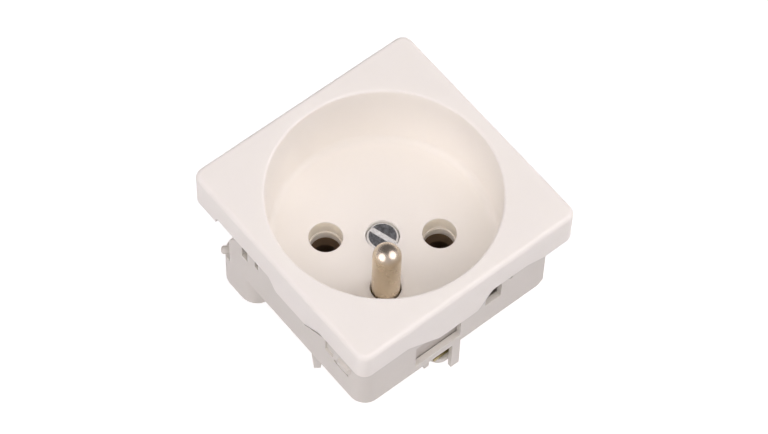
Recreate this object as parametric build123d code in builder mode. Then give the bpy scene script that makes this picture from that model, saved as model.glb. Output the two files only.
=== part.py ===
from build123d import *
from math import cos, radians, sin, tan
import os

# A square wall-socket module with a round plug recess, two pin holes and a standing
# earth pin. It lies on its back: Z runs from the rear, at 0, out through the face.
# The plug side is turned against the square, and the base is the same after half a turn.

# Overall
module = 45.0              # side of the square face
depth = 36.0               # face to rear
fit = 0.15                 # gap beside a piece that drops into a pocket
same_size = 0.01           # sizes closer than this are taken as equal

# Front cover
cover_corner = 2.0         # radius of the square's corners
cover_edge = 0.9           # rounding round the face
skirt_height = 6.0         # face to the skirt's lower edge
skirt_wall = 1.4
corner_drop = 1.25         # the skirt hangs lower at the base's two cut-back corners
corner_run = 10.5          # along the window's side
corner_slope = 3.9         # part of that run
corner_return = 6.4        # along the boss's side
face_wall = 2.0
recess_radius = 19.6
recess_depth = 13.8
recess_draft = 2.0         # degrees
recess_lip = 0.45          # rounding where the recess meets the face
recess_fillet = 1.5
bowl_wall = 1.0
bowl_fillet = 1.6
floor_wall = 2.2
panel_wall = 1.0           # flat panel behind each window of the base
panel_margin = 0.6         # past the window's edges

# Tongues that hang from the skirt, one on each side
window_tongue_drop = 3.8       # below the skirt
window_tongue_start = 9.6      # from the corner that two tongues share
window_tongue_gentle = 6.6     # run of the long slope
window_tongue_flat = 8.0
window_tongue_steep = 3.0      # run of the short slope
boss_tongue_drop = 2.4
boss_tongue_start = 11.2
boss_tongue_gentle = 3.8
boss_tongue_flat = 7.6
boss_tongue_steep = 1.9
tongue_round = 1.0

# Plug side
insert_turn = 36.0         # degrees between the line of pin holes and the square
pin_spacing = 19.0
pin_hole = 5.8
pin_step = 3.0             # floor to the ledge where a pin hole narrows
pin_guide = 5.3            # narrow part
guide_wall = 0.5           # spigot that reaches through the busbar's ring
guide_length = 1.3
collar_wall = 0.9          # tubes under the floor that bear on the busbars
collar_height = 1.2
earth_offset = 10.0        # earth pin from the line of holes
earth_diameter = 4.8
earth_height = 12.7        # above the recess floor
earth_neck = 4.4           # thinner part of the pin, within the floor
earth_hole = 5.2
earth_tail = 3.2
rivet_diameter = 5.2
rivet_height = 0.8

# Closing screw
screw_thread = 3.0
screw_length = 12.0
screw_hole = 3.3
screw_head = 5.4
screw_head_height = 1.4
screw_head_chamfer = 0.35
screw_sink = 0.25          # head top below the recess floor
screw_counterbore = 5.8
screw_boss_wall = 1.0      # round the counterbore, under the floor
slot_width = 0.95
slot_depth = 0.7
slot_turn = 107.0          # degrees from X
nut_flats = 5.5
nut_height = 2.4
nut_grip = 8.4             # screw head to nut
thread_gap = 0.05

# Base housing
base_inset = 0.6           # base walls behind the skirt's face
base_wall = 1.0
base_corner = 3.0
plate_wall = 1.4
notch_x = 5.25             # the two cut-back corners
notch_y = 8.5
notch_chamfer = 1.0        # under the plate, beside a cut-back corner
tower_wall = 1.8           # round each contact chamber
tower_floor = 1.5
tower_edge = 0.8
chamber_diameter = 8.0
pocket_diameter = 9.2      # where the busbar's ring lies

# Openings in the side walls
window_start = 2.15        # past the start of the tongue's long slope
window_width = 9.5
window_sill = 0.5          # above the tray's floor
bridge_width = 2.2         # wall left over the window's end
bridge_drop = 3.5          # its underside below the skirt
relief_start = 0.8         # under the short slope, on the window's side
relief_width = 3.3
relief_deep = 5.4          # below the skirt, like the nick, wedge, vent, slit and sloped end
nick_gap = 1.6             # beside the relief
nick_width = 0.7
nick_deep = 2.0
wedge_start = 0.8          # under the long slope, on the boss's side
wedge_deep = 4.5
wedge_end_deep = 2.0
vent_gap = 3.5             # beside the short slope, on the boss's side
vent_width = 0.9
vent_deep = 3.5
slit_gap = 6.4
slit_width = 1.5
slit_deep = 4.6
end_run = 2.7              # sloped top of the wall that stops at the cut-back corner
end_deep = 4.5
catch_corner = 3.1         # ridge that clips into a frame, from the corner
catch_width = 3.0
catch_drop = 2.1           # below the skirt
catch_height = 1.7
catch_proud = 0.6
catch_taper = 25.0         # degrees
spring_slot_gap = 1.0      # slot under the catch that lets it give
spring_slot_height = 0.8
spring_slot_lead = 1.2     # past the catch, away from the corner
spring_slot_width = 3.6
dimple_gap = 1.6           # between the catch and the dimple beside it
dimple_width = 2.0
dimple_deep = 0.4          # into the wall
dimple_drop = 4.8          # its lower edge below the skirt
foot_place = 8.6           # from the middle of the side
foot_inset = 1.25          # its middle behind the wall's face
foot_width = 2.0           # along the line of pin holes
foot_wall = 1.5
foot_length = 6.3          # below the plate
foot_taper = 4.0           # degrees
foot_round = 0.3

# Line and neutral terminals
boss_width = 9.0           # square to the wall that it is flush with
boss_length = 9.8
boss_beside = 0.6          # chamber's middle beside the line of holes
boss_drop = 7.7            # below the plate
boss_corner = 3.3
boss_wall = 1.2
boss_roof = 0.6            # over the chamber, under the busbar
peg_radius = 0.75          # rounded peg on the boss, at its outer corner
peg_start = 22.5           # from the centre
peg_length = 4.5
peg_rise = 0.5             # middle above the boss
peg_round = 0.6
strip = 0.8                # brass strip
busbar_width = 4.0
busbar_ring = 8.8
leg_back = 1.2             # upright leg, inwards from the chamber's middle
leg_clear = 0.2            # leg above the cap
cap_thickness = 1.6
wire_hole = 2.4
wire_funnel = 0.4          # chamfer round a wire's way in
spring_strip = 0.4
spring_width = 3.2
spring_run = 3.2
spring_drop = 1.3
spring_blade = 2.2
spring_tip_gap = 0.5
spring_bend = 0.5

# Contacts that grip the plug's pins
grip_diameter = 4.6
contact_wall = 0.6
contact_clear = 3.0        # free end above the tower's floor
contact_flare = 1.8
contact_slot = 2.4
ring_wall = 0.5
ring_height = 2.0
ring_rise = 1.5            # above the contact's free end
ring_gap = 1.2

# Earth terminal
bay_right = -1.06          # outer faces of the bay's walls
bay_left = -6.5
bay_wall = 1.0
post_width = 1.75          # post at the tray's edge, flush with its wall
post_wall = 0.8
bay_deep = 8.3             # from the tray's edge inwards
bay_back_wall = 1.2
bay_left_inset = 2.5       # left wall behind the tray's edge
bay_drop = 7.6             # below the plate
earth_cap_rise = 1.4       # cap above the lower end of the bay's walls
earth_cap_thickness = 1.2
earth_cap_corner = 2.2
earth_wire_hole = 1.9
earth_leg_inset = 1.6      # leg behind the tray's edge
earth_foot = 0.2           # how far the leg's lower end is bent out
strap_disc = 6.8
strap_width = 3.0

# Levels, from the rear
face_z = depth
skirt_z = face_z - skirt_height
corner_z = skirt_z - corner_drop
wall_top = skirt_z - fit
floor_z = face_z - recess_depth
bowl_z = floor_z - floor_wall          # the bowl stands on the base plate here
plate_z = bowl_z - plate_wall
collar_z = bowl_z - collar_height      # the collars stand on the busbars here
busbar_z = collar_z - strip
screw_seat_z = floor_z - screw_sink - screw_head_height
nut_top_z = screw_seat_z - nut_grip
strap_z = bowl_z - strip
guide_z = collar_z - guide_length
boss_bottom = plate_z - boss_drop
boss_ceiling = busbar_z - boss_roof
bay_bottom = plate_z - bay_drop
earth_cap_z = bay_bottom + earth_cap_rise
free_end_z = tower_floor + contact_clear
catch_top = skirt_z - catch_drop
catch_bottom = catch_top - catch_height
spring_slot_top = catch_bottom - spring_slot_gap
dimple_bottom = skirt_z - dimple_drop

# Places that several pieces share
module_half = module / 2
base_half = module_half - base_inset
bowl_radius = recess_radius + bowl_wall
floor_radius = recess_radius - recess_depth * tan(radians(recess_draft))
turn = radians(insert_turn)
line_axis = (-pin_spacing / 2 * cos(turn), pin_spacing / 2 * sin(turn))
neutral_axis = (-line_axis[0], -line_axis[1])
earth_axis = (-earth_offset * sin(turn), -earth_offset * cos(turn))
boss_centre = base_half - boss_width / 2
boss_middle = (boss_centre * sin(turn) - boss_beside) / cos(turn)      # along its wall
cavity_width = boss_width - 2 * boss_wall
cavity_length = boss_length - 2 * boss_wall
cavity_corner = boss_corner - boss_wall
boss_end = boss_middle + boss_length / 2
ring_opening = pin_guide / 2 + guide_wall + fit      # round the spigot
bay_back = base_half - bay_deep
earth_leg_front = base_half - earth_leg_inset
bay_room = bay_right - bay_left - 2 * bay_wall
bay_middle = (bay_right + bay_left) / 2
leg_place = boss_centre * cos(turn) + boss_middle * sin(turn) - leg_back
wire_place = leg_place + strip / 2 + wire_hole / 2 + fit
earth_cap_front = base_half - post_wall - fit
half_turns = (1, -1)
side_pairs = ((-90, 180), (90, 0))     # a window's side and the boss's side next to it
corner_high = module_half - corner_run                # ends of the skirt's slope
corner_low = corner_high + corner_slope
panel_face = base_half - base_wall - fit
boss_places = [(-side * boss_centre, side * boss_middle) for side in half_turns]
spring_points = [
    (0, -spring_strip / 2),
    (spring_run, -spring_strip / 2),
    (spring_run, -spring_drop),
    (spring_tip_gap, -spring_drop - spring_blade),
]


def side_plane(angle, distance):
    """Plane of one side wall, facing outwards, with its own y along Z."""
    outward = (cos(radians(angle)), sin(radians(angle)), 0)
    along = (-outward[1], outward[0], 0)
    return Plane(origin=Vector(*outward) * distance, x_dir=along, z_dir=outward)


def pole_plane(side, z):
    """Plane at one height whose x runs from the centre out through one pin hole."""
    return Plane(origin=(0, 0, z), x_dir=(-side * cos(turn), side * sin(turn), 0))


def pole_section(side):
    """Upright plane through the centre and one pin hole, with its own y along Z."""
    outward = Vector(-side * cos(turn), side * sin(turn), 0)
    return Plane(origin=(0, 0, 0), x_dir=outward, z_dir=outward.cross(Vector(0, 0, 1)))


def tongue_corners(start, gentle, flat, steep, drop):
    """Corners of a tongue on its side plane, from the long slope to the short one."""
    places = (start, start + gentle, start + gentle + flat, start + gentle + flat + steep)
    heights = (skirt_z, skirt_z - drop, skirt_z - drop, skirt_z)
    return [(place - module_half, z) for place, z in zip(places, heights)]


def upright(start, end, bottom, top=skirt_z):
    """Corners of an upright rectangle on a side plane."""
    return [(start, bottom), (end, bottom), (end, top), (start, top)]


def cut_from_wall(angle, corners, gap=0):
    """Cut an opening, wider by the gap all round, through one base wall of the part being built."""
    with BuildSketch(side_plane(angle, base_half)) as opening:
        with BuildLine():
            Polyline(*corners, close=True)
        make_face()
        if gap:
            offset(amount=gap, kind=Kind.INTERSECTION, mode=Mode.REPLACE)
    extrude(opening.sketch, amount=-(base_wall + fit), mode=Mode.SUBTRACT)


os.makedirs("parts", exist_ok=True)

# Front cover: one moulding of the face, its skirt with a tongue on each side, and the bowl
window_tongue = tongue_corners(
    window_tongue_start,
    window_tongue_gentle,
    window_tongue_flat,
    window_tongue_steep,
    window_tongue_drop,
)
boss_tongue = [(-place, z) for place, z in tongue_corners(
    boss_tongue_start,
    boss_tongue_gentle,
    boss_tongue_flat,
    boss_tongue_steep,
    boss_tongue_drop,
)]
window_from = window_tongue[0][0] + window_start
inner = module - 2 * skirt_wall
inner_corner = max(cover_corner - skirt_wall, fit)

with BuildPart() as low_corners:
    with BuildSketch(Plane.XY.offset(corner_z)):
        RectangleRounded(module, module, cover_corner)
        RectangleRounded(inner, inner, inner_corner, mode=Mode.SUBTRACT)
    extrude(amount=corner_drop)
    for window_side, boss_side in side_pairs:
        with BuildSketch(side_plane(window_side, module_half)):
            with BuildLine():
                Polyline(
                    (-module_half, corner_z),
                    (corner_low, corner_z),
                    (corner_high, skirt_z),
                    (-module_half, skirt_z),
                    close=True,
                )
            make_face()
        extrude(amount=-(skirt_wall + cover_corner), mode=Mode.SUBTRACT)
        with BuildSketch(side_plane(boss_side, module_half)):
            with BuildLine():
                Polyline(*upright(corner_return - module_half, module_half, corner_z), close=True)
            make_face()
        extrude(amount=-(skirt_wall + cover_corner), mode=Mode.SUBTRACT)

with BuildPart() as front_cover:
    with BuildSketch(Plane.XY.offset(skirt_z)):
        RectangleRounded(module, module, cover_corner)
    extrude(amount=skirt_height)
    fillet(front_cover.faces().sort_by(Axis.Z)[-1].edges(), cover_edge)
    with BuildSketch(Plane.XY.offset(skirt_z)):
        RectangleRounded(inner, inner, inner_corner)
    extrude(amount=skirt_height - face_wall, mode=Mode.SUBTRACT)
    for window_side, boss_side in side_pairs:
        for tongue_side, corners in ((window_side, window_tongue), (boss_side, boss_tongue)):
            with BuildSketch(side_plane(tongue_side, module_half)):
                with BuildLine():
                    Polyline(*corners, close=True)
                make_face()
            extrude(amount=-skirt_wall)
    slope_ends = front_cover.edges().filter_by(
        lambda e: abs(e.length - skirt_wall) < same_size and e.center().Z < skirt_z + same_size
    )
    fillet(slope_ends, tongue_round)
    add(low_corners.part)
    # Panels behind the windows, a little off the tray's floor
    with BuildSketch(Plane.XY.offset(bowl_z + fit)):
        with Locations(*[
            (side * (window_from + window_width / 2), -side * (panel_face - panel_wall / 2))
            for side in half_turns
        ]):
            Rectangle(window_width + 2 * panel_margin, panel_wall)
    extrude(amount=face_z - face_wall / 2 - bowl_z - fit)
    # Bowl under the face, drafted like the recess
    with BuildSketch(Plane.XZ):
        with BuildLine():
            Polyline(
                (0, bowl_z),
                (floor_radius + bowl_wall, bowl_z),
                (bowl_radius, face_z - face_wall / 2),
                (0, face_z - face_wall / 2),
                close=True,
            )
        make_face()
        fillet(vertices().filter_by(lambda v: v.X > bowl_wall and v.Y < floor_z), bowl_fillet)
    revolve(axis=Axis.Z)
    # Tubes round the pin holes and the screw, under the floor
    with BuildSketch(Plane.XY.offset(collar_z)):
        with Locations(line_axis, neutral_axis):
            Circle(pin_hole / 2 + collar_wall)
        Circle(screw_counterbore / 2 + screw_boss_wall)
    extrude(amount=collar_height)
    with BuildSketch(Plane.XY.offset(guide_z)):
        with Locations(line_axis, neutral_axis):
            Circle(pin_guide / 2 + guide_wall)
    extrude(amount=guide_length)
    # Recess
    with BuildSketch(Plane.XZ):
        with BuildLine():
            Polyline(
                (0, floor_z),
                (floor_radius, floor_z),
                (recess_radius, face_z),
                (0, face_z),
                close=True,
            )
        make_face()
    revolve(axis=Axis.Z, mode=Mode.SUBTRACT)
    round_edges = front_cover.edges().filter_by(GeomType.CIRCLE)
    fillet(round_edges.filter_by(lambda e: abs(e.radius - recess_radius) < same_size), recess_lip)
    fillet(round_edges.filter_by(lambda e: abs(e.radius - floor_radius) < same_size), recess_fillet)
    # Holes for the plug's pins, the earth pin and the closing screw
    with BuildSketch(Plane.XY.offset(floor_z)):
        with Locations(line_axis, neutral_axis):
            Circle(pin_hole / 2)
    extrude(amount=-pin_step, mode=Mode.SUBTRACT)
    with BuildSketch(Plane.XY.offset(floor_z)):
        with Locations(line_axis, neutral_axis):
            Circle(pin_guide / 2)
        with Locations(earth_axis):
            Circle(earth_hole / 2)
        Circle(screw_hole / 2)
    extrude(amount=guide_z - floor_z, mode=Mode.SUBTRACT)
    with BuildSketch(Plane.XY.offset(floor_z)):
        Circle(screw_counterbore / 2)
    extrude(amount=screw_seat_z - floor_z, mode=Mode.SUBTRACT)
front_cover.part.label = "front_cover"
export_step(front_cover.part, "parts/front_cover.step")

# Base housing: one moulding of a shallow tray, two contact towers and three terminal housings
with BuildPart() as pegs:
    for side in half_turns:
        outward = Vector(-side * cos(turn), side * sin(turn), 0)
        with BuildSketch(Plane(
            origin=outward * peg_start + Vector(0, 0, plate_z + peg_rise), z_dir=outward
        )):
            Circle(peg_radius)
        extrude(amount=peg_length)
        fillet(pegs.faces().sort_by(Axis((0, 0, 0), outward))[-1].edges(), peg_round)

with BuildPart() as feet:
    with BuildSketch(Plane(origin=(0, 0, plate_z), x_dir=(1, 0, 0), z_dir=(0, 0, -1))):
        with Locations(*[
            (-side * (base_half - foot_inset), side * foot_place) for side in half_turns
        ]):
            Rectangle(foot_width, foot_wall, rotation=insert_turn)
    extrude(amount=foot_length, taper=foot_taper)
    fillet(feet.faces().group_by(Axis.Z)[0].edges(), foot_round)

with BuildPart() as base_housing:
    with BuildSketch(Plane.XY.offset(plate_z)) as tray:
        Rectangle(2 * base_half, 2 * base_half)
        fillet(tray.vertices().filter_by(lambda v: v.X * v.Y > 0), base_corner)
        with Locations(*[
            (side * (base_half - notch_x / 2), -side * (base_half - notch_y / 2))
            for side in half_turns
        ]):
            Rectangle(notch_x, notch_y, mode=Mode.SUBTRACT)
    extrude(amount=wall_top - plate_z)
    with BuildSketch(Plane.XY.offset(boss_bottom)):
        with Locations(*boss_places):
            RectangleRounded(boss_width, boss_length, boss_corner)
    extrude(amount=boss_drop)
    add(pegs.part)
    add(feet.part)
    # Inside of the tray, clear of the bowl
    with BuildSketch(Plane.XY.offset(bowl_z)):
        add(tray.sketch_local)
        offset(amount=-base_wall, mode=Mode.REPLACE)
        Circle(bowl_radius + fit)
    extrude(amount=wall_top - bowl_z, mode=Mode.SUBTRACT)
    # Towers for the contacts, open to the front
    with BuildSketch():
        SlotCenterToCenter(pin_spacing, pocket_diameter + 2 * tower_wall, rotation=-insert_turn)
    extrude(amount=plate_z)
    fillet(base_housing.faces().sort_by(Axis.Z)[0].edges(), tower_edge)
    with BuildSketch(Plane.XY.offset(tower_floor)):
        with Locations(line_axis, neutral_axis):
            Circle(chamber_diameter / 2)
    extrude(amount=bowl_z - tower_floor, mode=Mode.SUBTRACT)
    with BuildSketch(Plane.XY.offset(busbar_z)):
        with Locations(line_axis, neutral_axis):
            Circle(pocket_diameter / 2)
    extrude(amount=bowl_z - busbar_z, mode=Mode.SUBTRACT)
    for side in half_turns:
        with BuildSketch(pole_plane(side, busbar_z)):
            with Locations((leg_place + strip / 2 + fit, 0)):
                Rectangle(
                    leg_place + strip / 2 + fit - pin_spacing / 2,
                    busbar_width + 2 * fit,
                    align=(Align.MAX, Align.CENTER),
                )
        extrude(amount=bowl_z - busbar_z, mode=Mode.SUBTRACT)
        with BuildSketch(pole_plane(side, boss_ceiling)):
            with Locations((leg_place, 0)):
                Rectangle(strip + 2 * fit, busbar_width + 2 * fit)
        extrude(amount=busbar_z - boss_ceiling, mode=Mode.SUBTRACT)
    # Terminal chambers, open to the rear
    with BuildSketch(Plane.XY.offset(boss_bottom)):
        with Locations(*boss_places):
            RectangleRounded(cavity_width, cavity_length, cavity_corner)
    extrude(amount=boss_ceiling - boss_bottom, mode=Mode.SUBTRACT)
    # Closing screw and its captive nut
    with BuildSketch(Plane.XY.offset(collar_z)):
        Circle(screw_counterbore / 2 + screw_boss_wall + fit)
    extrude(amount=bowl_z - collar_z, mode=Mode.SUBTRACT)
    with BuildSketch():
        Circle(screw_hole / 2)
    extrude(amount=bowl_z, mode=Mode.SUBTRACT)
    with BuildSketch():
        RegularPolygon(nut_flats / 2 + fit, 6, major_radius=False, rotation=-insert_turn)
    extrude(amount=nut_top_z, mode=Mode.SUBTRACT)
    # Earth terminal bay: two unequal side walls, a back wall and a post at the tray's edge
    with BuildSketch(Plane.XY.offset(bay_bottom)):
        with Locations((bay_left, -bay_back)):
            Rectangle(bay_right - bay_left, bay_back_wall, align=(Align.MIN, Align.MAX))
            Rectangle(bay_wall, bay_deep - bay_left_inset, align=(Align.MIN, Align.MAX))
        with Locations((bay_right, -bay_back)):
            Rectangle(bay_wall, bay_deep, align=(Align.MAX, Align.MAX))
        with Locations((bay_right, -base_half)):
            Rectangle(post_width, post_wall, align=(Align.MAX, Align.MIN))
    extrude(amount=plate_z - bay_bottom)
    with BuildSketch(Plane.XY.offset(strap_z)):
        with Locations(earth_axis):
            Circle(strap_disc / 2 + fit)
        with Locations((bay_middle, earth_axis[1])):
            Rectangle(
                strap_width + 2 * fit,
                earth_leg_front + fit + earth_axis[1],
                align=(Align.CENTER, Align.MAX),
            )
    extrude(amount=strip, mode=Mode.SUBTRACT)
    with BuildSketch(Plane.XY.offset(plate_z)):
        with Locations(earth_axis):
            Circle(earth_tail / 2 + fit)
        with Locations((bay_middle, -earth_leg_front - fit)):
            Rectangle(bay_room, strip + 2 * fit, align=(Align.CENTER, Align.MIN))
    extrude(amount=plate_wall, mode=Mode.SUBTRACT)
    # Openings and catches along the side walls
    relief_from = window_tongue[-1][0] - relief_start
    nick_from = relief_from + relief_width + nick_gap
    vent_to = boss_tongue[-1][0] - vent_gap
    slit_to = boss_tongue[-1][0] - slit_gap
    wedge_from = boss_tongue[1][0] - wedge_start
    wedge_to = boss_tongue[0][0]
    wall_end = notch_y - base_half
    plate_end = base_half - notch_x
    catch_to = base_half - catch_corner
    catch_from = catch_to - catch_width
    spring_slot_from = catch_from - spring_slot_lead
    for window_side, boss_side in side_pairs:
        cut_from_wall(window_side, window_tongue, gap=fit)
        cut_from_wall(window_side, upright(
            window_from, window_from + bridge_width, bowl_z + window_sill, skirt_z - bridge_drop
        ))
        cut_from_wall(window_side, upright(
            window_from + bridge_width, window_from + window_width, bowl_z + window_sill
        ))
        cut_from_wall(window_side, upright(relief_from, relief_from + relief_width, skirt_z - relief_deep))
        cut_from_wall(window_side, upright(nick_from, nick_from + nick_width, skirt_z - nick_deep))
        cut_from_wall(window_side, [
            (corner_high, skirt_z),
            (corner_low, corner_z),
            (base_half, corner_z),
            (base_half, skirt_z),
        ], gap=fit)
        cut_from_wall(boss_side, boss_tongue, gap=fit)
        cut_from_wall(boss_side, [
            (wedge_from, skirt_z - wedge_deep),
            (wedge_to, skirt_z - wedge_end_deep),
            (wedge_to, skirt_z),
            (wedge_from, skirt_z),
        ])
        cut_from_wall(boss_side, upright(vent_to - vent_width, vent_to, skirt_z - vent_deep))
        cut_from_wall(boss_side, upright(slit_to - slit_width, slit_to, skirt_z - slit_deep))
        cut_from_wall(boss_side, [
            (wall_end, skirt_z), (wall_end + end_run, skirt_z), (wall_end, skirt_z - end_deep)
        ])
        cut_from_wall(boss_side, upright(
            spring_slot_from,
            spring_slot_from + spring_slot_width,
            spring_slot_top - spring_slot_height,
            spring_slot_top,
        ))
        with BuildSketch(side_plane(window_side, base_half)):
            with BuildLine():
                Polyline(
                    (plate_end, plate_z),
                    (plate_end - notch_chamfer, plate_z),
                    (plate_end, plate_z + notch_chamfer),
                    close=True,
                )
            make_face()
        extrude(amount=-(base_half - boss_end - fit), mode=Mode.SUBTRACT)
        with BuildSketch(side_plane(boss_side, base_half)):
            with Locations((catch_from - dimple_gap, dimple_bottom)):
                Rectangle(dimple_width, skirt_z - dimple_bottom, align=(Align.MAX, Align.MIN))
        extrude(amount=-dimple_deep, mode=Mode.SUBTRACT)
        with BuildSketch(side_plane(boss_side, base_half)):
            with Locations((catch_from, catch_bottom)):
                Rectangle(catch_width, catch_height, align=(Align.MIN, Align.MIN))
        extrude(amount=catch_proud, taper=catch_taper)
base_housing.part.label = "base_housing"
export_step(base_housing.part, "parts/base_housing.step")

# Closing screw: slotted cheese head in the recess floor
with BuildPart() as centre_screw:
    with BuildSketch(Plane.XY.offset(screw_seat_z)):
        Circle(screw_head / 2)
    extrude(amount=screw_head_height)
    chamfer(centre_screw.faces().sort_by(Axis.Z)[-1].edges(), screw_head_chamfer)
    with BuildSketch(Plane.XY.offset(screw_seat_z + screw_head_height)):
        Rectangle(screw_counterbore, slot_width, rotation=slot_turn)
    extrude(amount=-slot_depth, mode=Mode.SUBTRACT)
    with BuildSketch(Plane.XY.offset(screw_seat_z)):
        Circle(screw_thread / 2)
    extrude(amount=-screw_length)
centre_screw.part.label = "centre_screw"
export_step(centre_screw.part, "parts/centre_screw.step")

# Captive nut in the rear of the base
with BuildPart() as centre_nut:
    with BuildSketch(Plane.XY.offset(nut_top_z)):
        RegularPolygon(nut_flats / 2, 6, major_radius=False, rotation=-insert_turn)
        Circle(screw_thread / 2 + thread_gap, mode=Mode.SUBTRACT)
    extrude(amount=-nut_height)
centre_nut.part.label = "centre_nut"
export_step(centre_nut.part, "parts/centre_nut.step")

# Earth pin: turned, domed, with a tail riveted through the strap and the base plate
earth_top_z = floor_z + earth_height
earth_radius = earth_diameter / 2
with BuildPart() as earth_pin:
    with BuildSketch(Plane(origin=(*earth_axis, 0), x_dir=(1, 0, 0), z_dir=(0, -1, 0))):
        with BuildLine():
            dome = RadiusArc(
                (earth_radius, earth_top_z - earth_radius), (0, earth_top_z), -earth_radius
            )
            Polyline(
                dome @ 1,
                (0, plate_z - rivet_height),
                (rivet_diameter / 2, plate_z - rivet_height),
                (rivet_diameter / 2, plate_z),
                (earth_tail / 2, plate_z),
                (earth_tail / 2, bowl_z),
                (earth_neck / 2, bowl_z),
                (earth_neck / 2, floor_z),
                (earth_radius, floor_z),
                dome @ 0,
            )
        make_face()
    revolve(axis=Axis((*earth_axis, 0), (0, 0, 1)))
earth_pin.part.label = "earth_pin"
export_step(earth_pin.part, "parts/earth_pin.step")

# Earth strap: brass strip from the pin to the upright leg in the terminal bay
earth_leg_z = earth_cap_z + earth_cap_thickness + leg_clear
with BuildPart() as earth_strap:
    with BuildSketch(Plane.XY.offset(strap_z)):
        with Locations(earth_axis):
            Circle(strap_disc / 2)
        with Locations((bay_middle, earth_axis[1])):
            Rectangle(
                strap_width, earth_leg_front + earth_axis[1], align=(Align.CENTER, Align.MAX)
            )
        with Locations(earth_axis):
            Circle(earth_tail / 2, mode=Mode.SUBTRACT)
    extrude(amount=strip)
    with BuildSketch(Plane.XY.offset(earth_leg_z)):
        with Locations((bay_middle, -earth_leg_front)):
            Rectangle(bay_room - 2 * fit, strip, align=(Align.CENTER, Align.MIN))
    extrude(amount=strap_z - earth_leg_z)
    with BuildSketch(Plane.XY.offset(earth_leg_z)):
        with Locations((bay_middle, -earth_leg_front)):
            Rectangle(bay_room - 2 * fit, earth_foot, align=(Align.CENTER, Align.MAX))
    extrude(amount=strip)
earth_strap.part.label = "earth_strap"
export_step(earth_strap.part, "parts/earth_strap.step")

# Earth clamp spring, behind the leg
with BuildPart() as earth_clamp_spring:
    leg_face = earth_leg_front - strip
    with BuildSketch(Plane(origin=(bay_middle, -leg_face, plate_z), x_dir=(0, 1, 0), z_dir=(1, 0, 0))):
        with BuildLine():
            FilletPolyline(*spring_points, radius=spring_bend)
        trace(line_width=spring_strip)
    extrude(amount=(bay_room - 2 * fit) / 2, both=True)
earth_clamp_spring.part.label = "earth_clamp_spring"
export_step(earth_clamp_spring.part, "parts/earth_clamp_spring.step")

# Earth terminal cap, with the wire's way in
with BuildPart() as earth_terminal_cap:
    with BuildSketch(Plane.XY.offset(earth_cap_z)) as cap_outline:
        with Locations((bay_middle, -earth_cap_front)):
            Rectangle(
                bay_room - 2 * fit,
                earth_cap_front - bay_back - bay_back_wall - fit,
                align=(Align.CENTER, Align.MIN),
            )
        fillet(cap_outline.vertices().group_by(Axis.Y)[0].sort_by(Axis.X)[0], earth_cap_corner)
        with Locations((bay_middle, -leg_face + earth_wire_hole / 2 + fit)):
            Circle(earth_wire_hole / 2, mode=Mode.SUBTRACT)
    extrude(amount=earth_cap_thickness)
    chamfer(earth_terminal_cap.edges().filter_by(GeomType.CIRCLE).filter_by(
        lambda e: abs(e.radius - earth_wire_hole / 2) < same_size
    ).sort_by(Axis.Z)[0], wire_funnel)
earth_terminal_cap.part.label = "earth_terminal_cap"
export_step(earth_terminal_cap.part, "parts/earth_terminal_cap.step")

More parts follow.
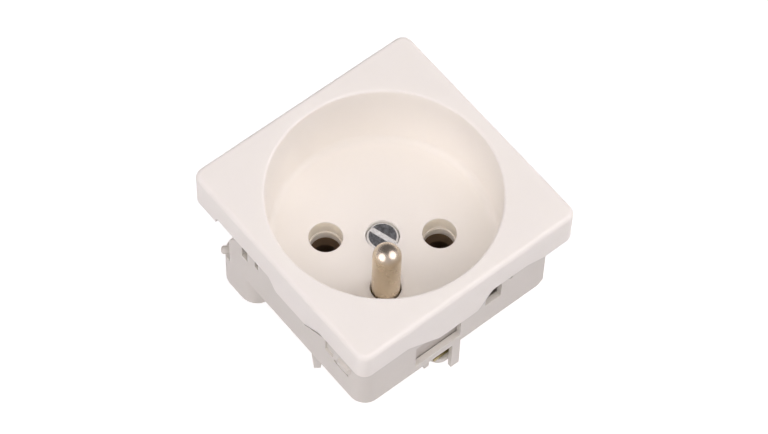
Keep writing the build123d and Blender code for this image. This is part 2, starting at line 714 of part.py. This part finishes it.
# Line and neutral: the same five pieces, half a turn apart
for pole, side, pin_axis in (("line", 1, line_axis), ("neutral", -1, neutral_axis)):
    # Busbar: a ring round the pin hole, an arm, and a leg down into the terminal
    with BuildPart() as busbar:
        with BuildSketch(pole_plane(side, busbar_z)):
            with Locations((pin_spacing / 2, 0)):
                Circle(busbar_ring / 2)
                Rectangle(
                    leg_place + strip / 2 - pin_spacing / 2,
                    busbar_width,
                    align=(Align.MIN, Align.CENTER),
                )
                Circle(ring_opening, mode=Mode.SUBTRACT)
        extrude(amount=strip)
        with BuildSketch(pole_plane(side, busbar_z)):
            with Locations((leg_place, 0)):
                Rectangle(strip, busbar_width)
        extrude(amount=boss_bottom + cap_thickness + leg_clear - busbar_z)
    busbar.part.label = pole + "_busbar"
    export_step(busbar.part, f"parts/{pole}_busbar.step")

    # Contact: two sprung half-sleeves hanging from a rim welded under the busbar's ring
    grip_radius = grip_diameter / 2
    rim_z = busbar_z - contact_wall
    with BuildPart() as contact_sleeve:
        with BuildSketch(Plane(origin=(*pin_axis, 0), x_dir=(1, 0, 0), z_dir=(0, -1, 0))):
            with BuildLine():
                Polyline(
                    (ring_opening, busbar_z),
                    (ring_opening + contact_wall, busbar_z),
                    (ring_opening + contact_wall, rim_z),
                    (grip_radius + contact_wall, rim_z - contact_flare),
                    (grip_radius + contact_wall, free_end_z),
                    (grip_radius, free_end_z),
                    (grip_radius, rim_z - contact_flare),
                    (ring_opening, rim_z),
                    close=True,
                )
            make_face()
        revolve(axis=Axis((*pin_axis, 0), (0, 0, 1)))
        with BuildSketch(pole_plane(side, free_end_z)):
            with Locations((pin_spacing / 2, 0)):
                Rectangle(chamber_diameter, contact_slot)
        extrude(amount=rim_z - contact_wall - free_end_z, mode=Mode.SUBTRACT)
    contact_sleeve.part.label = pole + "_contact_sleeve"
    export_step(contact_sleeve.part, f"parts/{pole}_contact_sleeve.step")

    # Steel ring that presses the half-sleeves together
    with BuildPart() as contact_ring:
        with BuildSketch(pole_plane(side, free_end_z + ring_rise)):
            with Locations((pin_spacing / 2, 0)):
                Circle(grip_radius + contact_wall + thread_gap + ring_wall)
                Circle(grip_radius + contact_wall + thread_gap, mode=Mode.SUBTRACT)
                Rectangle(
                    chamber_diameter, ring_gap, align=(Align.MIN, Align.CENTER), mode=Mode.SUBTRACT
                )
        extrude(amount=ring_height)
    contact_ring.part.label = pole + "_contact_ring"
    export_step(contact_ring.part, f"parts/{pole}_contact_ring.step")

    # Clamp spring that holds the wire against the leg
    with BuildPart() as clamp_spring:
        with BuildSketch(pole_section(side).offset(-boss_beside)):
            with BuildLine():
                FilletPolyline(
                    *[(leg_place + strip / 2 + x, boss_ceiling + y) for x, y in spring_points],
                    radius=spring_bend,
                )
            trace(line_width=spring_strip)
        extrude(amount=spring_width / 2, both=True)
    clamp_spring.part.label = pole + "_clamp_spring"
    export_step(clamp_spring.part, f"parts/{pole}_clamp_spring.step")

    # Terminal cap, with the wire's way in
    with BuildPart() as terminal_cap:
        with BuildSketch(Plane.XY.offset(boss_bottom)):
            with Locations((-side * boss_centre, side * boss_middle)):
                RectangleRounded(cavity_width - 2 * fit, cavity_length - 2 * fit, cavity_corner - fit)
        extrude(amount=cap_thickness)
        with BuildSketch(pole_plane(side, boss_bottom)):
            with Locations((wire_place, boss_beside)):
                Circle(wire_hole / 2)
        extrude(amount=cap_thickness, mode=Mode.SUBTRACT)
        chamfer(terminal_cap.edges().filter_by(GeomType.CIRCLE).filter_by(
            lambda e: abs(e.radius - wire_hole / 2) < same_size
        ).sort_by(Axis.Z)[0], wire_funnel)
    terminal_cap.part.label = pole + "_terminal_cap"
    export_step(terminal_cap.part, f"parts/{pole}_terminal_cap.step")
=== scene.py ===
from math import pi, radians

import bpy
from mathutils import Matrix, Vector


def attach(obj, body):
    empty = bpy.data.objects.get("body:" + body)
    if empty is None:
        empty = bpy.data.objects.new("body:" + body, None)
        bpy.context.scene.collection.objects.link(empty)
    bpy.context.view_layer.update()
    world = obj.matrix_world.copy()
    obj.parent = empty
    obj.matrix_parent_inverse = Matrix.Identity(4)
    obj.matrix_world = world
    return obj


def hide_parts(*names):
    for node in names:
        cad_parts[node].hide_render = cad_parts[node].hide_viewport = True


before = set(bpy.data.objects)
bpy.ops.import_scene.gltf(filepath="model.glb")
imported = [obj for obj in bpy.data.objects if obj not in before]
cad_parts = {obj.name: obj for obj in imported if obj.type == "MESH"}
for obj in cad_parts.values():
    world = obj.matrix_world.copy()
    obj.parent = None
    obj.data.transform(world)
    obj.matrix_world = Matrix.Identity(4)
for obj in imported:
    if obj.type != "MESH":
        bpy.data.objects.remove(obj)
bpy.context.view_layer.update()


# Base housing
# A shallow tray with two contact towers and three terminal housings, in one shot of warm grey-white
# plastic. Every other piece drops into it from the front or is pressed in from the rear.


class Shade:
    """A socket of a material: sums of these add Math nodes, and add() puts in any other node."""

    def __init__(self, tree, socket):
        self.tree = tree
        self.socket = socket

    def add(self, kind, sockets, output=0, **settings):
        """Add a node of any kind: its settings come first, then its sockets' values or links."""
        made = self.tree.nodes.new("ShaderNode" + kind)
        for name, setting in settings.items():
            setattr(made, name, setting)
        inputs = {socket.identifier: socket for socket in made.inputs}
        for name, value in sockets.items():
            if isinstance(value, Shade):
                self.tree.links.new(value.socket, inputs[name])
            else:
                inputs[name].default_value = value
        return Shade(self.tree, made.outputs[output] if made.outputs else None)

    def maths(self, operation, first, second):
        """Math node on two values, each a socket or a number."""
        return self.add("Math", {"Value": first, "Value_001": second}, operation=operation)

    def __add__(self, other):
        return self.maths("ADD", self, other)

    def __radd__(self, other):
        return self.maths("ADD", other, self)

    def __sub__(self, other):
        return self.maths("SUBTRACT", self, other)

    def __rsub__(self, other):
        return self.maths("SUBTRACT", other, self)

    def __mul__(self, other):
        return self.maths("MULTIPLY", self, other)

    def __rmul__(self, other):
        return self.maths("MULTIPLY", other, self)

    def __lt__(self, limit):
        return self.maths("LESS_THAN", self, limit)

    def __gt__(self, limit):
        return self.maths("GREATER_THAN", self, limit)

    def __abs__(self):
        return self.add("Math", {"Value": self}, operation="ABSOLUTE")

    def axis(self, letter):
        """X, Y or Z of this place."""
        return self.add("SeparateXYZ", {"Vector": self}, output=letter)

    def along(self, direction):
        """How far this place lies in a direction of length 1."""
        sockets = {"Vector": self, "Vector_001": direction}
        return self.add("VectorMath", sockets, output="Value", operation="DOT_PRODUCT")

    def rise(self, start, end):
        """Mask that goes softly from 0 to 1 as this value goes from start to end."""
        sockets = {"Value": self, "From Min": start, "From Max": end}
        return self.add("MapRange", sockets, interpolation_type="SMOOTHSTEP")

    def noise(self, size, detail=2.0, stretch=(1, 1, 1)):
        """Cloudy noise from 0 to 1 whose lumps are about size metres across."""
        place = self.add("Mapping", {"Vector": self, "Scale": stretch})
        return self.add("TexNoise", {"Vector": place, "Scale": 1 / size, "Detail": detail})

    def tint(self, low, high):
        """Colour that goes from low to high as this mask goes from 0 to 1."""
        sockets = {"Factor_Float": self}
        for name, colour in (("A_Color", low), ("B_Color", high)):
            sockets[name] = colour if isinstance(colour, Shade) else (*colour, 1)
        return self.add("Mix", sockets, output=2, data_type="RGBA")


def new_finish(name):
    """An empty material and the object coordinates that its pattern is laid out on."""
    material = bpy.data.materials.new(name)
    material.use_nodes = True
    tree = material.node_tree
    tree.nodes.clear()
    place = Shade(tree, tree.nodes.new("ShaderNodeTexCoord").outputs["Object"])
    return material, place


def moulded_plastic(name, body, shadow, gloss, depth, painted_light_patches=()):
    """Satin moulding, faintly cloudy and grained, that lets light about depth metres into it."""
    material, place = new_finish(name)
    cloud = place.noise(size=0.012, detail=3)
    grain = place.noise(size=0.00035)
    smear = place.noise(size=0.004, detail=4)
    colour = (cloud * 0.7 + grain * 0.3).tint(shadow, body)
    # Each of these patches paints light or shade over the plastic's own colour where its mask is 1.
    for mask, patch in painted_light_patches:
        colour = mask(place).tint(colour, patch)
    surface = place.add("BsdfPrincipled", {
        "Base Color": colour,
        "Roughness": gloss + smear * 0.12 + grain * 0.06,
        "IOR": 1.5,
        "Subsurface Weight": 1.0,
        "Subsurface Radius": (1, 1, 1),
        "Subsurface Scale": depth,
        "Normal": place.add("Bump", {"Height": grain, "Strength": 0.12, "Distance": 0.00004}),
    })
    place.add("OutputMaterial", {"Surface": surface})
    return material


weld_distance = 0.000001
flat_angle = radians(0.05)
sharp_angle = radians(24)


def smooth_copy(material, slot, *names):
    """Stand a copy with welded, smoothly shaded curves in for each of these CAD nodes."""
    for name in names:
        bpy.ops.object.select_all(action="DESELECT")
        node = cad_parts[name]
        piece = node.copy()
        piece.data = node.data.copy()
        piece.name = name + "_finish"
        # The copy starts without the node's own marks and parent.
        for key in list(piece.keys()):
            del piece[key]
        piece.parent = None
        bpy.context.collection.objects.link(piece)
        bpy.context.view_layer.objects.active = piece
        piece.select_set(True)
        bpy.ops.mesh.customdata_custom_splitnormals_clear()
        bpy.ops.object.mode_set(mode="EDIT")
        bpy.ops.mesh.select_all(action="SELECT")
        bpy.ops.mesh.remove_doubles(threshold=weld_distance)
        bpy.ops.mesh.dissolve_limited(angle_limit=flat_angle)
        bpy.ops.object.mode_set(mode="OBJECT")
        bpy.ops.object.shade_smooth_by_angle(angle=sharp_angle)
        bpy.ops.object.modifier_add(type="WEIGHTED_NORMAL")
        even_shading = piece.modifiers[-1]
        even_shading.weight = 100
        even_shading.keep_sharp = True
        bpy.ops.object.modifier_apply(modifier=even_shading.name)
        piece.data.materials.clear()
        piece.data.materials.append(material)
        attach(piece, "root")
        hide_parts(name)


dense_depth = 0.00005
base_plastic = moulded_plastic(
    "base_plastic", body=(0.75, 0.74, 0.69), shadow=(0.71, 0.70, 0.65), gloss=0.40, depth=dense_depth
)
smooth_copy(base_plastic, "base_plastic", "base_housing")


# Contacts, their rings and the busbars
# Bronze half-sleeves grip the plug's pins, a steel ring presses them together, and a stamped brass busbar
# with a ring, an arm and a leg takes the current to the terminal. They drop into the towers together.


def stamped_metal(name, bright, dull, roughness):
    """Rolled strip: fine lines along the rolling direction, dull patches and light tarnish."""
    material, place = new_finish(name)
    lines = place.noise(size=0.0006, stretch=(1, 12, 12))
    patch = place.noise(size=0.003, detail=4)
    surface = place.add("BsdfPrincipled", {
        "Base Color": (lines * 0.35 + patch * 0.65).tint(dull, bright),
        "Metallic": 1.0,
        "Roughness": roughness + patch * 0.15,
        "Normal": place.add("Bump", {"Height": lines, "Strength": 0.15, "Distance": 0.00003}),
    })
    place.add("OutputMaterial", {"Surface": surface})
    return material


bronze = stamped_metal(
    "contact_bronze", bright=(0.44, 0.33, 0.23), dull=(0.32, 0.24, 0.17), roughness=0.60
)
spring_steel = stamped_metal(
    "spring_steel", bright=(0.50, 0.50, 0.51), dull=(0.34, 0.34, 0.35), roughness=0.30
)
brass = stamped_metal(
    "brass_strip", bright=(0.40, 0.33, 0.13), dull=(0.22, 0.18, 0.07), roughness=0.22
)
smooth_copy(bronze, "contact_bronze", "line_contact_sleeve", "neutral_contact_sleeve")
smooth_copy(spring_steel, "spring_steel", "line_contact_ring", "neutral_contact_ring")
smooth_copy(brass, "brass_strip", "line_busbar", "neutral_busbar")


# Earth pin and strap
# The pin is turned from brass and nickel plated, and its tail is riveted through a stamped brass strap
# and the base plate. Fine turning rings show under the plating, and its domed tip is tinted paler as a
# painted reflection of the bright recess around it.
tip_start = 0.0329
tip_full = 0.0341
# Painted reflection: the paler tip colour stands in for the bright recess mirrored in the dome.
tip_painted_reflection = (0.74, 0.66, 0.55)
nickel, place = new_finish("nickel")
rings = place.noise(size=0.002, stretch=(0.4, 0.4, 60))
haze = place.noise(size=0.0025, detail=4)
reflection_tip = place.axis("Z").rise(tip_start, tip_full)
plating = haze.tint((0.68, 0.57, 0.42), (0.78, 0.66, 0.50))
surface = place.add("BsdfPrincipled", {
    "Base Color": reflection_tip.tint(plating, tip_painted_reflection),
    "Metallic": 1.0,
    "Roughness": 0.23 + haze * 0.1,
    "Normal": place.add("Bump", {"Height": rings, "Strength": 0.08, "Distance": 0.00002}),
})
place.add("OutputMaterial", {"Surface": surface})
smooth_copy(nickel, "nickel", "earth_pin")
smooth_copy(brass, "brass_strip", "earth_strap")


# Terminals
# A bent spring holds each wire against its leg, and a small plastic cap with the wire's way in is pressed
# into the housing from the rear.
cap_plastic = moulded_plastic(
    "cap_plastic", body=(0.77, 0.76, 0.71), shadow=(0.73, 0.72, 0.67), gloss=0.42, depth=dense_depth
)
smooth_copy(
    spring_steel, "spring_steel", "line_clamp_spring", "neutral_clamp_spring", "earth_clamp_spring"
)
smooth_copy(
    cap_plastic, "cap_plastic", "line_terminal_cap", "neutral_terminal_cap", "earth_terminal_cap"
)


# Front cover
# The face, its skirt and the plug recess are one moulding of warm white plastic, which stands on the base
# by the bowl's floor. The panels behind the windows get painted shade, a greyer colour for the shadow
# under the skirt, and the pin holes get painted warm bounce light inside.
cover_depth = 0.0009
# Painted shade: the panels' greyer colour stands in for the shadow that the skirt casts on them.
panel_painted_shade = (0.60, 0.575, 0.53)
panel_inside = 0.0202
panel_outside = 0.021
panel_top = 0.0285
# Painted bounce light: the warmer colour inside the pin holes stands in for light thrown about in them.
hole_painted_bounce_light = (0.966, 0.90, 0.79)
hole_line = (0.809, -0.588, 0)
hole_aside = (0.588, 0.809, 0)
hole_place = 0.0095
hole_reach = 0.00296
hole_mouth = 0.0219


def painted_shade_panels(place):
    """Mask of the painted shade on the two panels, which stand just inside the skirt and below its edge.
    """
    across = abs(place.axis("Y"))
    behind = (across > panel_inside) * (across < panel_outside)
    return behind * (place.axis("Z") < panel_top)


def pin_holes_painted_bounce(place):
    """Mask of painted warm bounce light on the walls and ledges inside the two holes for the pins."""
    along = abs(place.along(hole_line)) - hole_place
    aside = place.along(hole_aside)
    inside = along * along + aside * aside < hole_reach ** 2
    return inside * (place.axis("Z") < hole_mouth)


cover_plastic = moulded_plastic(
    "cover_plastic", body=(0.968, 0.935, 0.872), shadow=(0.948, 0.91, 0.847), gloss=0.36,
    depth=cover_depth, painted_light_patches=((painted_shade_panels, panel_painted_shade), (pin_holes_painted_bounce, hole_painted_bounce_light)),
)
smooth_copy(cover_plastic, "cover_plastic", "front_cover")


# Closing screw and nut
# A slotted zinc-plated steel screw in the recess floor pulls the cover on to the base. Its captive nut
# sits in a six-sided pocket at the rear. The head's flat top is dull and mottled, and its edge and slot
# get a painted highlight: a pale colour that is hardly metallic.
head_foot = 0.0205
head_edge = 0.02193
bloom_contrast = 2.6
bloom_shift = 0.8
zinc, place = new_finish("zinc_steel")
scratch = place.noise(size=0.0009, detail=3, stretch=(1, 7, 1))
bloom = place.noise(size=0.0006, detail=4) * bloom_contrast - bloom_shift
height = place.axis("Z")
# Painted highlight: the edge and slot, below the flat top, are pale and hardly metallic.
bright = (height < head_edge) * (height > head_foot)
dull = bloom.tint((0.30, 0.32, 0.34), (0.74, 0.78, 0.82))
painted_highlight_colour = bloom.tint((0.78, 0.80, 0.79), (0.97, 0.99, 0.98))
surface = place.add("BsdfPrincipled", {
    "Base Color": bright.tint(dull, painted_highlight_colour),
    "Metallic": 1.0 - bright * 0.85,
    "Roughness": 0.22 + scratch * 0.18 + bright * 0.15,
    "Normal": place.add("Bump", {"Height": scratch, "Strength": 0.15, "Distance": 0.00003}),
})
place.add("OutputMaterial", {"Surface": surface})
smooth_copy(zinc, "zinc_steel", "centre_screw", "centre_nut")


# Studio
# A pale floor under the socket and soft light from all round. Two broad lamps show only as highlights
# in the gloss, and the rest of what gloss mirrors is dimmer, darkest high up on the far side.
floor_glow = 0.6
bpy.ops.object.select_all(action="DESELECT")
bpy.ops.mesh.primitive_plane_add(size=4)
floor = bpy.context.object
floor.name = "floor"
floor_paint, place = new_finish("floor_paint")
watched = place.add("LightPath", {}, output="Is Camera Ray")
for ray in ("Is Glossy Ray", "Is Transmission Ray"):
    watched = watched + place.add("LightPath", {}, output=ray)
paint = place.add("BsdfDiffuse", {"Color": (0.7, 0.7, 0.7, 1)})
glow = place.add("Emission", {"Color": (1, 1, 1, 1), "Strength": watched * floor_glow})
place.add("OutputMaterial", {"Surface": place.add("AddShader", {"Shader": paint, "Shader_001": glow})})
floor.data.materials.append(floor_paint)

light_colour = (1, 0.915, 0.935)
far_side = (0.42, 0.48, 0.77)
sky_level = 0.2
mirrored_level = 0.3
far_side_loss = 0.35
world = bpy.data.worlds.new("studio")
bpy.context.scene.world = world
world.use_nodes = True
tree = world.node_tree
tree.nodes.clear()
sky = Shade(tree, tree.nodes.new("ShaderNodeTexCoord").outputs["Generated"])
dim = sky.along(far_side).rise(start=0.3, end=0.9)
mirrored = sky.add("LightPath", {}, output="Is Glossy Ray")
level = sky_level + mirrored * (mirrored_level - dim * far_side_loss)
sky.add("OutputWorld", {
    "Surface": sky.add("Background", {"Color": (*light_colour, 1), "Strength": level})
})


def round_lamp(name, direction, across, distance, radiance):
    """Disc of light that faces the socket and can't be seen itself."""
    data = bpy.data.lights.new(name, "AREA")
    data.shape = "DISK"
    data.size = across
    data.color = light_colour
    data.energy = radiance * (pi * across / 2) ** 2
    lamp = bpy.data.objects.new(name, data)
    bpy.context.scene.collection.objects.link(lamp)
    lamp.location = Vector(direction).normalized() * distance
    lamp.rotation_euler = Vector(direction).to_track_quat("Z", "Y").to_euler()
    lamp.visible_camera = False
    return lamp


def soft_lamp(name, direction, radiance):
    """Lamp that lights the socket without a highlight."""
    lamp = round_lamp(name, direction, across=0.8, distance=1.0, radiance=radiance)
    lamp.visible_glossy = False


def gleam(name, direction, radiance):
    """Lamp that shows as a highlight only, and stands nearer so that no other lamp hides it."""
    lamp = round_lamp(name, direction, across=1.0, distance=0.9, radiance=radiance)
    lamp.visible_diffuse = False


left = (-0.835, 0.043, 0.545)
right = (0.418, -0.572, 0.706)
soft_lamp("front_lamp", (-0.35, -0.5, 0.8), radiance=2.7)
soft_lamp("left_lamp", left, radiance=1.17)
soft_lamp("high_left_lamp", (-0.6, 0.25, 0.76), radiance=0.84)
soft_lamp("high_right_lamp", (0.6, -0.25, 0.76), radiance=1.55)
soft_lamp("low_right_lamp", (0.9, -0.2, 0.4), radiance=1.58)
soft_lamp("far_lamp", far_side, radiance=0.46)
gleam("left_gleam", left, radiance=1.7)
gleam("right_gleam", right, radiance=1.7)


# Camera
# A long lens looks down on the near corner from the earth pin's side, about 30 degrees off straight
# down, and is rolled by about two degrees.
lens = bpy.data.cameras.new("camera")
lens.sensor_width = 36
lens.lens = 160.39
camera = bpy.data.objects.new("camera", lens)
bpy.context.scene.collection.objects.link(camera)
camera.location = (-0.18709, -0.21651, 0.51523)
camera.rotation_euler = (radians(30.415), radians(-1.157), radians(-38.880))
bpy.context.scene.camera = camera
bpy.context.scene.view_settings.view_transform = "Standard"
